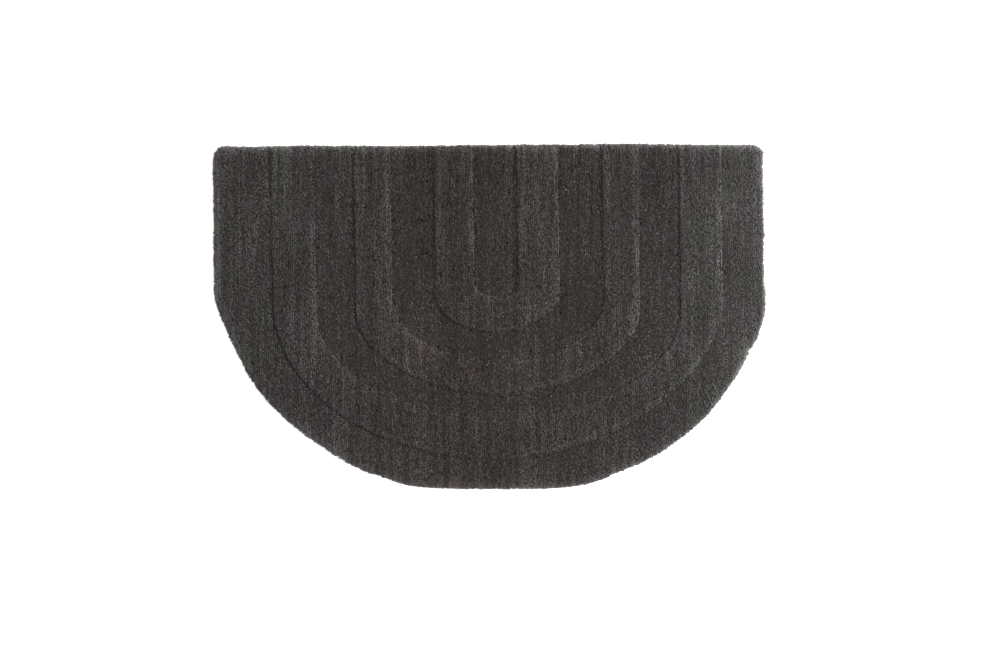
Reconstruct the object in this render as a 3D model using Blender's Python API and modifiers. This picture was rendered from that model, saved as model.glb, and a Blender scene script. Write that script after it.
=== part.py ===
"""A half-round hooked rug with three raised arches in its pile, lying flat.

The rug is one closed solid: a slab in the rug's own uneven outline, as thick as its low pile,
with three nested arches of longer pile standing out of it, open towards the straight edge.

Units are metres. +X runs along the straight edge, +Y points to it and +Z is up. The origin is
the middle of the rug's box, on the floor.
"""

import math
from typing import NamedTuple

import bmesh
import bpy
from mathutils import Vector


class RimPoint(NamedTuple):
    """A point that the rug's edge passes through."""

    across: float
    along: float


class ArchLine(NamedTuple):
    """One edge of a raised arch: two straight legs joined by a round foot."""

    left: float             # the left leg, across the rug
    right: float            # the right leg, across the rug
    turn: float             # where the legs end and the foot begins, along the rug
    foot: float             # the foot's lowest point, along the rug
    left_fullness: float    # 2 is a quarter of an ellipse, and less is slacker
    right_fullness: float


class Arch(NamedTuple):
    """A raised arch, between its outer and its inner edge."""

    name: str
    outer: ArchLine
    inner: ArchLine


class Ripple(NamedTuple):
    """A wave in the rug's edge."""

    depth: float
    pitch: float


# Heights over the floor.
LOW_PILE = 0.009
HIGH_PILE = 0.012
ARCH_ROOT = 0.004           # where the arches' own solids begin, inside the slab

# How far the pile's edges are rounded, and what counts as an edge.
RIM_ROUND = 0.003
RIM_SEGMENTS = 3
ARCH_ROUND = 0.0013
ARCH_SEGMENTS = 2
EDGE_ANGLE = math.radians(45.0)

# The edge is trimmed by hand, so it wanders a little about its line.
RIM_SPACING = 0.0048
RIPPLES = (
    Ripple(depth=0.00020, pitch=0.0290),
    Ripple(depth=0.00025, pitch=0.0117),
)

# The arches' legs lean to the left on their way to the straight edge, and end just inside it.
LEAN = 0.0035
LEG_INSET = 0.0008
LEG_STEPS = 3
FOOT_STEPS = 22
STRAIGHT_EDGE_FROM = 0.235      # the rim is the straight edge from here on, along the rug

WELD = 0.00001
PILE_COLOUR = (0.055, 0.050, 0.048, 1.0)

# The rug's edge, from the left end of the straight edge to the right, then round the foot.
RIM = (
    RimPoint(-0.3996, 0.2250),
    RimPoint(-0.3986, 0.2350),
    RimPoint(-0.3954, 0.2410),
    RimPoint(-0.3900, 0.2456),
    RimPoint(-0.3820, 0.2469),
    RimPoint(-0.3640, 0.2464),
    RimPoint(-0.3200, 0.2466),
    RimPoint(-0.2600, 0.2477),
    RimPoint(-0.2130, 0.2472),
    RimPoint(0.0190, 0.2485),
    RimPoint(0.2280, 0.2499),
    RimPoint(0.3590, 0.2486),
    RimPoint(0.3780, 0.2490),
    RimPoint(0.3866, 0.2476),
    RimPoint(0.3938, 0.2434),
    RimPoint(0.3969, 0.2374),
    RimPoint(0.3967, 0.2310),
    RimPoint(0.3962, 0.2240),
    RimPoint(0.3960, 0.2080),
    RimPoint(0.3976, 0.1250),
    RimPoint(0.3983, 0.0500),
    RimPoint(0.4002, 0.0270),
    RimPoint(0.3990, 0.0090),
    RimPoint(0.3930, -0.0150),
    RimPoint(0.3790, -0.0440),
    RimPoint(0.3751, -0.0474),
    RimPoint(0.3750, -0.0530),
    RimPoint(0.3688, -0.0650),
    RimPoint(0.3588, -0.0838),
    RimPoint(0.3424, -0.1074),
    RimPoint(0.3260, -0.1300),
    RimPoint(0.2755, -0.1765),
    RimPoint(0.2190, -0.2112),
    RimPoint(0.1896, -0.2229),
    RimPoint(0.1612, -0.2350),
    RimPoint(0.1332, -0.2428),
    RimPoint(0.1030, -0.2464),
    RimPoint(0.0190, -0.2482),
    RimPoint(-0.0740, -0.2472),
    RimPoint(-0.1030, -0.2455),
    RimPoint(-0.1292, -0.2400),
    RimPoint(-0.1543, -0.2313),
    RimPoint(-0.1798, -0.2225),
    RimPoint(-0.2415, -0.1878),
    RimPoint(-0.2886, -0.1530),
    RimPoint(-0.3326, -0.1068),
    RimPoint(-0.3479, -0.0849),
    RimPoint(-0.3604, -0.0612),
    RimPoint(-0.3824, -0.0147),
    RimPoint(-0.3918, 0.0090),
    RimPoint(-0.3979, 0.0300),
    RimPoint(-0.3988, 0.0370),
    RimPoint(-0.3980, 0.0480),
    RimPoint(-0.3990, 0.0900),
    RimPoint(-0.3988, 0.1500),
    RimPoint(-0.3997, 0.1970),
    RimPoint(-0.4005, 0.2100),
)

ARCHES = (
    Arch(
        "outer_arch",
        outer=ArchLine(-0.3150, 0.3380, 0.0235, -0.2077, 2.0, 1.8),
        inner=ArchLine(-0.2515, 0.2770, 0.0090, -0.1461, 2.0, 1.9),
    ),
    Arch(
        "middle_arch",
        outer=ArchLine(-0.1945, 0.2180, 0.0090, -0.1135, 1.9, 1.8),
        inner=ArchLine(-0.1410, 0.1650, 0.0264, -0.0635, 2.0, 1.9),
    ),
    Arch(
        "inner_arch",
        outer=ArchLine(-0.0785, 0.1020, 0.0307, -0.0229, 2.0, 1.6),
        inner=ArchLine(-0.0220, 0.0415, 0.0510, 0.0293, 2.0, 2.0),
    ),
)


def clear_scene():
    """Remove what the new file holds."""
    for thing in list(bpy.data.objects):
        bpy.data.objects.remove(thing, do_unlink=True)


def new_collection(name):
    """Add a collection to the scene."""
    collection = bpy.data.collections.new(name)
    bpy.context.scene.collection.children.link(collection)
    return collection


def pile_material():
    """The rug's charcoal wool."""
    material = bpy.data.materials.new("charcoal_wool")
    material.use_nodes = True
    shader = material.node_tree.nodes["Principled BSDF"]
    shader.inputs["Base Color"].default_value = PILE_COLOUR
    shader.inputs["Roughness"].default_value = 0.95
    shader.inputs["Metallic"].default_value = 0.0
    material.diffuse_color = PILE_COLOUR
    return material


def heading(before, here, after):
    """The direction of the smooth curve at a point, led by the nearer neighbour."""
    arrive = here - before
    leave = after - here
    return (arrive.normalized() * leave.length + leave.normalized() * arrive.length).normalized()


def curve_point(start, end, leave, arrive, share):
    """A point between start and end, on a curve that leaves and arrives as given."""
    reach = (end - start).length
    square = share * share
    cube = square * share
    return (
        start * (2.0 * cube - 3.0 * square + 1.0)
        + leave * reach * (cube - 2.0 * square + share)
        + end * (3.0 * square - 2.0 * cube)
        + arrive * reach * (cube - square)
    )


def smooth_loop(points, spacing):
    """Points about one spacing apart on a smooth closed curve through the given ones."""
    corners = [Vector(point) for point in points]
    count = len(corners)
    headings = [
        heading(corners[index - 1], corners[index], corners[(index + 1) % count])
        for index in range(count)
    ]
    loop = []
    for index, start in enumerate(corners):
        after = (index + 1) % count
        end = corners[after]
        steps = max(2, round((end - start).length / spacing))
        for step in range(steps):
            loop.append(curve_point(start, end, headings[index], headings[after], step / steps))
    return loop


def rippled(loop):
    """The same loop, moved in and out a little as a hand-trimmed edge is."""
    count = len(loop)
    travelled = 0.0
    uneven = []
    for index, point in enumerate(loop):
        ahead = loop[(index + 1) % count]
        behind = loop[index - 1]
        travelled += (point - behind).length
        run = (ahead - behind).normalized()
        outward = Vector((-run.y, run.x))
        waves = (wave.depth * math.sin(2.0 * math.pi * travelled / wave.pitch) for wave in RIPPLES)
        uneven.append(point + outward * sum(waves))
    return uneven


def middle_of(points):
    """The middle of the points' box."""
    across = [point.x for point in points]
    along = [point.y for point in points]
    return Vector((
        0.5 * (min(across) + max(across)),
        0.5 * (min(along) + max(along)),
    ))


def straight_edge_at(rim, across):
    """How far along the rug its straight edge lies, at a place across it."""
    edge = [point for point in rim if point.y > STRAIGHT_EDGE_FROM]
    edge.sort(key=lambda point: abs(point.x - across))
    return 0.5 * (edge[0].y + edge[1].y)


def arch_path(line, rim, offset):
    """An arch's edge: down its left leg, round its foot and up its right leg."""
    middle = 0.5 * (line.left + line.right)
    half = 0.5 * (line.right - line.left)
    drop = line.turn - line.foot
    path = []
    for side, fullness in ((-1.0, line.left_fullness), (1.0, line.right_fullness)):
        power = 2.0 / fullness
        quarter = []
        for step in range(FOOT_STEPS + 1):
            angle = 0.5 * math.pi * step / FOOT_STEPS
            out = half * max(0.0, math.cos(angle)) ** power
            down = drop * math.sin(angle) ** power
            quarter.append(Vector((middle + side * out, line.turn - down)) - offset)
        leg_foot = quarter[0]
        leg_top = Vector((leg_foot.x - LEAN, 0.0))
        leg_top.y = straight_edge_at(rim, leg_top.x) - LEG_INSET
        leg = [leg_top.lerp(leg_foot, step / LEG_STEPS) for step in range(LEG_STEPS)]
        if side < 0.0:
            path = leg + quarter
        else:
            path = path + list(reversed(leg + quarter[:-1]))
    return path


def flat_solid(name, outline, low, high, collection):
    """A closed solid: a flat outline filled and raised from low to high."""
    curve = bpy.data.curves.new(name + "_outline", "CURVE")
    curve.dimensions = "2D"
    curve.fill_mode = "BOTH"
    curve.extrude = 0.5 * (high - low)
    spline = curve.splines.new("POLY")
    spline.points.add(len(outline) - 1)
    for point, place in zip(spline.points, outline):
        point.co = (place.x, place.y, 0.0, 1.0)
    spline.use_cyclic_u = True
    guide = bpy.data.objects.new(name + "_outline", curve)
    guide.location.z = 0.5 * (high + low)
    collection.objects.link(guide)
    bpy.context.view_layer.update()

    evaluated = guide.evaluated_get(bpy.context.evaluated_depsgraph_get())
    mesh = bpy.data.meshes.new_from_object(evaluated)
    mesh.name = name
    shape = bmesh.new()
    shape.from_mesh(mesh)
    bmesh.ops.remove_doubles(shape, verts=shape.verts, dist=WELD)
    for facing in (-1.0, 1.0):
        cap = [face for face in shape.faces if face.normal.z * facing > 0.5]
        bmesh.ops.dissolve_faces(shape, faces=cap)
    bmesh.ops.recalc_face_normals(shape, faces=shape.faces)
    shape.to_mesh(mesh)
    shape.free()

    solid = bpy.data.objects.new(name, mesh)
    solid.matrix_world = guide.matrix_world.copy()
    collection.objects.link(solid)
    bpy.data.objects.remove(guide, do_unlink=True)
    bpy.data.curves.remove(curve)
    return solid


def round_top(solid, width, segments):
    """Round the edges around a solid's top face."""
    mesh = solid.data
    top = max(vertex.co.z for vertex in mesh.vertices)
    shape = bmesh.new()
    shape.from_mesh(mesh)
    weights = shape.edges.layers.float.new("bevel_weight_edge")
    for edge in shape.edges:
        flat = all(vertex.co.z > top - WELD for vertex in edge.verts)
        if flat and edge.calc_face_angle(0.0) > EDGE_ANGLE:
            edge[weights] = 1.0
    shape.to_mesh(mesh)
    shape.free()
    bevel = solid.modifiers.new("round_top", "BEVEL")
    bevel.limit_method = "WEIGHT"
    bevel.offset_type = "OFFSET"
    bevel.width = width
    bevel.segments = segments
    bevel.use_clamp_overlap = False


def raise_arch(rug, arch, rim, offset, helpers):
    """Join one arch of longer pile to the rug."""
    outer = arch_path(arch.outer, rim, offset)
    inner = arch_path(arch.inner, rim, offset)
    band = flat_solid(arch.name, outer + list(reversed(inner)), ARCH_ROOT, HIGH_PILE, helpers)
    round_top(band, ARCH_ROUND, ARCH_SEGMENTS)
    band.hide_render = True
    band.display_type = "WIRE"
    union = rug.modifiers.new(arch.name, "BOOLEAN")
    union.operation = "UNION"
    union.solver = "EXACT"
    union.object = band


def build_rug():
    """Build the rug as one solid."""
    parts = new_collection("hooked_rug")
    helpers = new_collection("raised_arches")
    trimmed = rippled(smooth_loop(RIM, RIM_SPACING))
    offset = middle_of(trimmed)
    rim = [point - offset for point in trimmed]
    rug = flat_solid("rug", rim, 0.0, LOW_PILE, parts)
    rug.data.materials.clear()
    rug.data.materials.append(pile_material())
    round_top(rug, RIM_ROUND, RIM_SEGMENTS)
    for arch in ARCHES:
        raise_arch(rug, arch, rim, offset, helpers)
    return rug


clear_scene()
build_rug()
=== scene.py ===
"""Dresses a charcoal hooked rug with three nested, raised arches.

A woven ground carries rows of cut wool tufts, whose tops lie just under the solid's surface.
Locks of the same wool splay over the rim, and loose strands of yarn lie on the pile. The rug
lies on a pale studio floor under a camera that looks straight down.
"""

import logging
import math
from contextlib import contextmanager
from dataclasses import dataclass, field
from enum import Enum
from typing import Iterator

import bmesh
import bpy
import numpy as np
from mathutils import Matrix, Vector
from mathutils.bvhtree import BVHTree
from mathutils.kdtree import KDTree
from numpy.typing import NDArray


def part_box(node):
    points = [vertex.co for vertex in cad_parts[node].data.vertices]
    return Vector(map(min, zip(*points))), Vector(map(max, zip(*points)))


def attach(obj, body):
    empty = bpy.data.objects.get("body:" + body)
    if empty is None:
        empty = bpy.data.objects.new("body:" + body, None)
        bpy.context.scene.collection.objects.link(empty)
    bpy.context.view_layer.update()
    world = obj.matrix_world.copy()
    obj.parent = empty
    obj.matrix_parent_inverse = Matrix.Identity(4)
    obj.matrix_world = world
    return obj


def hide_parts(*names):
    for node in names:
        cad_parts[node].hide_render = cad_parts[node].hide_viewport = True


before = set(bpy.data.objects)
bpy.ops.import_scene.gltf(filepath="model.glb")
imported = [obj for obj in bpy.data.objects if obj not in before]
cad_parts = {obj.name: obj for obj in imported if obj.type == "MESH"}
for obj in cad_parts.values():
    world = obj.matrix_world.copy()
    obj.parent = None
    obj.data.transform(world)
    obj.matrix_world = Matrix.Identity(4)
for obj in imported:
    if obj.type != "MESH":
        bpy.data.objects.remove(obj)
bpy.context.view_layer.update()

log = logging.getLogger("hooked_rug")

Floats = NDArray[np.float64]
Colour = tuple[float, float, float, float]
Steps = tuple[tuple[float, float], ...]

BODY = "root"
RUG_NODE = "rug"
BAKE_MAP = "OFBake"
TONE = "tone"
RISE = "rise"
MILLIMETRE = 0.001
GRID_STEPS = 1e5
MAP_RADIUS, MAP_DRAW_IN = 0.44, 0.92
FOOT_MAP_SCALE, FOOT_MAP_PLACE = 0.1, 0.06
LEVEL_WITHIN = 1e-4


class Band(Enum):
    """The bands of pile from the rim inwards; the value is how many arch walls lie outside it."""

    FIELD = 0
    OUTER_ARCH = 1
    OUTER_HOLLOW = 2
    MIDDLE_ARCH = 3
    MIDDLE_HOLLOW = 4
    INNER_ARCH = 5
    HEART = 6

    @property
    def hollow(self) -> bool:
        """Whether the band is low pile with an arch round it."""
        return self.value % 2 == 0 and self is not Band.FIELD


class Lay(Enum):
    """Which way a loose strand of yarn lies on the pile."""

    ALONG_ROWS = "along_rows"
    ANY_WAY = "any_way"
    ROUND_RIM = "round_rim"


@contextmanager
def editing(piece: bpy.types.Object) -> Iterator[bpy.types.Object]:
    """Opens a mesh object in edit mode with nothing selected, and closes it again.

    Args:
        piece: The object to edit.

    Returns:
        An iterator for the with statement, which gives the object.
    """
    bpy.ops.object.select_all(action="DESELECT")
    piece.select_set(True)
    bpy.context.view_layer.objects.active = piece
    bpy.ops.object.mode_set(mode="EDIT")
    bpy.ops.mesh.select_all(action="DESELECT")
    yield piece
    bpy.ops.object.mode_set(mode="OBJECT")
    piece.select_set(False)


def unit(vectors: Floats) -> Floats:
    """The vectors, each made one long."""
    return vectors / np.maximum(np.linalg.norm(vectors, axis=1, keepdims=True), 1e-12)


def rightwards(along: Floats) -> Floats:
    """The directions to the right of these directions on the plan."""
    return np.column_stack([along[:, 1], -along[:, 0]])


def curve(steps: Steps, at: Floats) -> Floats:
    """The value at each place of a curve that runs straight between its steps."""
    return np.interp(at, *zip(*steps))


def search_tree(spots: Floats) -> KDTree:
    """Makes a tree in which the nearest of some places is quickly found.

    Args:
        spots: Places, one row of x and y each.

    Returns:
        The tree.
    """
    tree = KDTree(len(spots))
    for number, (x, y) in enumerate(spots):
        tree.insert((x, y, 0), number)
    tree.balance()
    return tree


def walked(line: Floats, step: float, closed: bool, start: float = 0.0) -> tuple[Floats, Floats]:
    """Places at an even step along a line.

    Args:
        line: The line's points, one row of x and y each.
        step: The distance between places, which is fitted to a whole number of steps.
        closed: Whether the last point joins the first one.
        start: Where the first place lies, as a share of a step.

    Returns:
        The places, and the line's unit direction at each of them.
    """
    points = np.vstack([line, line[:1]]) if closed else line
    run = np.concatenate([[0], np.cumsum(np.linalg.norm(np.diff(points, axis=0), axis=1))])
    count = max(int(run[-1] / step), 1)
    at = (np.arange(count) + start) * run[-1] / count
    reach = 1.5 * MILLIMETRE
    spots, ahead, behind = (
        np.stack([np.interp(at + shift, run, column) for column in points.T], axis=1)
        for shift in (0, reach, -reach)
    )
    return spots, unit(ahead - behind)


@dataclass
class NoiseField:
    """Smooth noise between -1 and 1 over the rug, the same for every piece that reads it.

    Attributes:
        cell: The lattice's step along x and along y.
        seed: Draws the lattice's values.
        reach: How far the lattice reaches each way from the origin.
    """

    cell: tuple[float, float]
    seed: int
    reach: float = 0.55
    lattice: Floats = field(init=False)

    def __post_init__(self) -> None:
        """Draws the lattice."""
        counts = [math.ceil(2 * self.reach / step) + 2 for step in self.cell]
        self.lattice = np.random.default_rng(self.seed).uniform(-1, 1, counts)

    def at(self, spots: Floats) -> Floats:
        """The noise at each place.

        Args:
            spots: Places, one row of x and y each.

        Returns:
            One value for each place.
        """
        steps = (spots[:, :2] + self.reach) / np.array(self.cell)
        low = np.floor(steps).astype(int)
        part = steps - low
        part = part * part * (3 - 2 * part)
        (i, j), (u, v) = low.T, part.T
        return (
            self.lattice[i, j] * (1 - u) * (1 - v)
            + self.lattice[i + 1, j] * u * (1 - v)
            + self.lattice[i, j + 1] * (1 - u) * v
            + self.lattice[i + 1, j + 1] * u * v
        )


@dataclass
class Guide:
    """A line on the plan, as places close together that can be searched.

    Attributes:
        line: The line's points, one row of x and y each.
        closed: Whether the last point joins the first one.
        step: How close together the places are.
    """

    line: Floats
    closed: bool
    step: float = 0.6 * MILLIMETRE
    spots: Floats = field(init=False)
    along: Floats = field(init=False)
    tree: KDTree = field(init=False)

    def __post_init__(self) -> None:
        """Walks the line and makes its search tree."""
        self.spots, self.along = walked(self.line, self.step, self.closed)
        self.tree = search_tree(self.spots)

    def beside(self, aside: float, step: float, start: float = 0.0) -> tuple[Floats, Floats]:
        """Places at an even step beside the line.

        Args:
            aside: How far to the line's right they are.
            step: The distance between places along the line.
            start: Where the first place lies, as a share of a step.

        Returns:
            The places, and the unit direction to the line's right at each of them.
        """
        spots, along = walked(self.line, step, self.closed, start)
        right = rightwards(along)
        return spots + aside * right, right

    def nearest(self, spots: Floats) -> tuple[Floats, Floats]:
        """How far the line is from each place.

        Args:
            spots: Places, one row of x and y each.

        Returns:
            The distances, and the line's unit direction where it is nearest.
        """
        found = [self.tree.find((x, y, 0)) for x, y in spots[:, :2]]
        return np.array([f[2] for f in found]), self.along[[f[1] for f in found]]

    def encloses(self, spots: Floats) -> NDArray[np.bool_]:
        """Whether each place lies inside the line, which is closed by a straight stretch.

        Args:
            spots: Places, one row of x and y each.

        Returns:
            True for each place inside.
        """
        inside = np.zeros(len(spots), bool)
        x, y = spots[:, 0], spots[:, 1]
        ends = np.roll(self.line, -1, axis=0)
        for (ax, ay), (bx, by) in zip(self.line, ends):
            if ay == by:
                continue
            crosses = (ay > y) != (by > y)
            inside ^= crosses & (x < (bx - ax) * (y - ay) / (by - ay) + ax)
        return inside


@dataclass
class Surroundings:
    """What lies round each of a number of places on the rug, one row for each.

    Attributes:
        height: Height of the solid's surface.
        rim_distance: How far the rim is.
        outwards: Unit direction on the plan towards the rim's outside.
        wall_distance: How far the nearest arch wall is.
        downhill: Unit direction on the plan from that wall's raised side to its low side.
        raised: Whether the place is on an arch.
        hollow: Whether the place is low and inside an arch.
        band: The value of its band.
    """

    height: Floats
    rim_distance: Floats
    outwards: Floats
    wall_distance: Floats
    downhill: Floats
    raised: NDArray[np.bool_]
    hollow: NDArray[np.bool_]
    band: NDArray[np.int64]

    def near_rim(self, reach: float) -> Floats:
        """How near the rim is: 1 at it, falling off over the given length."""
        return np.exp(-self.rim_distance / reach)

    def near_wall(self, reach: float) -> Floats:
        """How near a wall is: 1 at it, falling off over the given length."""
        return np.exp(-self.wall_distance / reach)


def chained(edges: list[tuple[Vector, Vector]]) -> list[Floats]:
    """Joins edges end to end into lines on the plan, the longest line first.

    Args:
        edges: The two ends of each edge.

    Returns:
        The points of each line, one row of x and y each.
    """
    def key(place: Vector) -> tuple[int, int]:
        """The place on a grid of a hundredth of a millimetre."""
        return round(place.x * GRID_STEPS), round(place.y * GRID_STEPS)

    joins: dict[tuple[int, int], list[tuple[int, int]]] = {}
    places: dict[tuple[int, int], tuple[float, float]] = {}
    for a, b in edges:
        joins.setdefault(key(a), []).append(key(b))
        joins.setdefault(key(b), []).append(key(a))
        places[key(a)], places[key(b)] = a[:2], b[:2]
    lines, left = [], set(joins)
    while left:
        ends = [k for k in left if len(joins[k]) == 1]
        spot = min(ends or left)
        line = []
        while spot is not None:
            line.append(places[spot])
            left.discard(spot)
            spot = next((k for k in joins[spot] if k in left), None)
        lines.append(np.array(line, float))
    return sorted(lines, key=lambda line: -np.linalg.norm(np.diff(line, axis=0), axis=1).sum())


@dataclass
class RugForm:
    """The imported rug's own shape: its rim, the feet of its arch walls and its surface.

    Attributes:
        low_pile: Height of the low pile over the floor.
        arch_walls: How many walls the three arches have.
    """

    low_pile: float = 9 * MILLIMETRE
    arch_walls: int = 6
    merge: float = 0.01 * MILLIMETRE
    level: float = 0.05 * MILLIMETRE
    wall_angle: float = math.radians(60)
    step_aside: float = 2 * MILLIMETRE
    mesh: bpy.types.Mesh = field(init=False)
    tree: BVHTree = field(init=False)
    rim: Guide = field(init=False)
    walls: list[Guide] = field(init=False)
    low_sides: Floats = field(init=False)

    def __post_init__(self) -> None:
        """Reads the solid, with its loose triangles joined."""
        source = bmesh.new()
        source.from_mesh(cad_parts[RUG_NODE].data)
        bmesh.ops.remove_doubles(source, verts=source.verts, dist=self.merge)
        bmesh.ops.recalc_face_normals(source, faces=source.faces)
        self.tree = BVHTree.FromBMesh(source)
        self.rim = Guide(self.edge_lines(source, 0.0)[0], closed=True)
        if self.area_of(self.rim.line) < 0:
            self.rim = Guide(self.rim.line[::-1], closed=True)
        feet = self.edge_lines(source, self.low_pile)[: self.arch_walls]
        self.walls = [Guide(line, closed=False) for line in feet]
        self.low_sides = np.array([self.low_side(wall) for wall in self.walls])
        self.mesh = bpy.data.meshes.new("woven_ground")
        source.to_mesh(self.mesh)
        source.free()

    @staticmethod
    def area_of(line: Floats) -> float:
        """The area inside a closed line, below zero where it runs clockwise."""
        ahead = np.roll(line, -1, axis=0)
        return float((line[:, 0] * ahead[:, 1] - ahead[:, 0] * line[:, 1]).sum() / 2)

    def edge_lines(self, source: bmesh.types.BMesh, height: float) -> list[Floats]:
        """The lines where a level face meets a wall at one height.

        Args:
            source: The solid with its triangles joined.
            height: The height of the wanted edges.

        Returns:
            The lines on the plan, the longest first.
        """
        edges = [
            (edge.verts[0].co.copy(), edge.verts[1].co.copy())
            for edge in source.edges
            if len(edge.link_faces) == 2
            and all(abs(vert.co.z - height) < self.level for vert in edge.verts)
            and edge.calc_face_angle(0.0) > self.wall_angle
        ]
        return chained(edges)

    def surface(self, spots: Floats) -> Floats:
        """The height of the solid's top at each place.

        Args:
            spots: Places, one row of x and y each.

        Returns:
            The heights. A place outside the solid has height 0.
        """
        down, above = Vector((0, 0, -1)), 10 * self.low_pile
        places = (self.tree.ray_cast(Vector((x, y, above)), down)[0] for x, y in spots[:, :2])
        return np.array([place.z if place is not None else 0.0 for place in places])

    def around(self, spots: Floats) -> Surroundings:
        """What lies round each place.

        Args:
            spots: Places, one row of x and y each.

        Returns:
            Their surroundings.
        """
        height = self.surface(spots)
        rim_distance, rim_along = self.rim.nearest(spots)
        inside = np.array([wall.encloses(spots) for wall in self.walls])
        band = inside.sum(axis=0)
        found = [wall.nearest(spots) for wall in self.walls]
        distances = np.array([distance for distance, _ in found])
        nearest = distances.argmin(axis=0)
        rows = np.arange(len(spots))
        along = np.array([along for _, along in found])[nearest, rows]
        downhill = rightwards(along) * self.low_sides[nearest][:, None]
        return Surroundings(
            height, rim_distance, rightwards(rim_along), distances[nearest, rows], downhill,
            band % 2 == 1, np.isin(band, [kind.value for kind in Band if kind.hollow]), band,
        )

    def low_side(self, wall: Guide) -> float:
        """Whether a wall's low side is on its right, 1, or on its left, -1."""
        right = rightwards(wall.along) * self.step_aside
        drop = self.surface(wall.spots - right) - self.surface(wall.spots + right)
        return float(np.sign(np.median(drop)))


@dataclass
class Shape:
    """A small modelled form of which a piece holds thousands of copies.

    Attributes:
        variants: The points of each variant, which all have the same faces.
        triangles: Three corners a face.
        patches: Where each face's corners lie in the copy's own square of the bake map.
        draws: How many flecks a copy draws, of which its points take the first ones.
    """

    variants: Floats
    triangles: NDArray[np.int64]
    patches: Floats
    draws: int


def shape_of(models: list[bpy.types.Object], draws: int) -> Shape:
    """Reads modelled variants of one form, lays out its map and removes the models.

    The map has the side faces round the form's axis, seen from its top, and the foot's own
    faces in a corner of the square.

    Args:
        models: Mesh objects with the same faces, each along Z between 0 and 1.
        draws: How many flecks a copy draws.

    Returns:
        The shape.
    """
    first = models[0].data
    triangles = np.array([tuple(face.vertices) for face in first.polygons])
    variants = np.array([[tuple(vert.co) for vert in model.data.vertices] for model in models])
    points = variants[0]
    middle, height = points - points.mean(axis=0), points[:, 2]
    round_axis = np.arctan2(middle[:, 1], middle[:, 0])
    spread = MAP_RADIUS * (1 - MAP_DRAW_IN * height)
    flat = 0.5 + np.stack([np.cos(round_axis), np.sin(round_axis)], axis=1) * spread[:, None]
    patches = flat[triangles]
    foot = (height[triangles] < height.min() + LEVEL_WITHIN).all(axis=1)
    patches[foot] = (patches[foot] - 0.5) * FOOT_MAP_SCALE + FOOT_MAP_PLACE
    for model in models:
        mesh = model.data
        bpy.data.objects.remove(model)
        bpy.data.meshes.remove(mesh)
    return Shape(variants, triangles, patches, draws)


def flared_model(sides: int, foot: float, top: float, low: float, high: float) -> bpy.types.Object:
    """Models a closed form along Z that is wider or narrower at its top than at its foot.

    Args:
        sides: How many sides it has.
        foot: Half width at the foot.
        top: Half width at the top, where 0 is a point.
        low: Height of the foot.
        high: Height of the top.

    Returns:
        The model, in triangles that face outwards.
    """
    bpy.ops.object.select_all(action="DESELECT")
    bpy.ops.mesh.primitive_cone_add(
        vertices=sides, radius1=foot, radius2=top, depth=high - low,
        location=(0, 0, (low + high) / 2),
    )
    piece = bpy.context.object
    bpy.ops.object.transform_apply(location=True, rotation=True, scale=True)
    with editing(piece):
        bpy.ops.mesh.select_all(action="SELECT")
        bpy.ops.mesh.quads_convert_to_tris()
        bpy.ops.mesh.normals_make_consistent(inside=False)
    return piece


@dataclass(frozen=True)
class TuftForm:
    """One cut tuft of wool: a four-sided stub that flares to a flat top.

    Attributes:
        foot: Half width at the foot, where the top's is 1.
        top: Height of the flat top, as a share of the length that a copy is given.
        variants: How many there are. They are alike, and their number keeps the seeded draws.
        draws: How many flecks a copy draws, one more than the points that take them.
    """

    foot: float = 0.62
    top: float = 0.66
    variants: int = 6
    draws: int = 9

    def model(self) -> Shape:
        """Models the variants, 12 triangles each."""
        models = [flared_model(4, self.foot, 1.0, 0.0, self.top) for _ in range(self.variants)]
        return shape_of(models, self.draws)


@dataclass(frozen=True)
class StrandForm:
    """The end of a loose strand of yarn: a three-sided cone with its point at height 1.

    Attributes:
        lowest: Height of the first variant's foot.
        rise: How much higher the last variant's foot is.
        variants: How many there are.
        draws: How many flecks a copy draws, one for each point.
    """

    lowest: float = 0.35
    rise: float = 0.3
    variants: int = 4
    draws: int = 4

    def model(self) -> Shape:
        """Models the variants.

        Returns:
            The shape, 4 triangles each.
        """
        feet = (self.lowest + self.rise * n / (self.variants - 1) for n in range(self.variants))
        return shape_of([flared_model(3, 1.0, 0.0, foot, 1.0) for foot in feet], self.draws)


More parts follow.
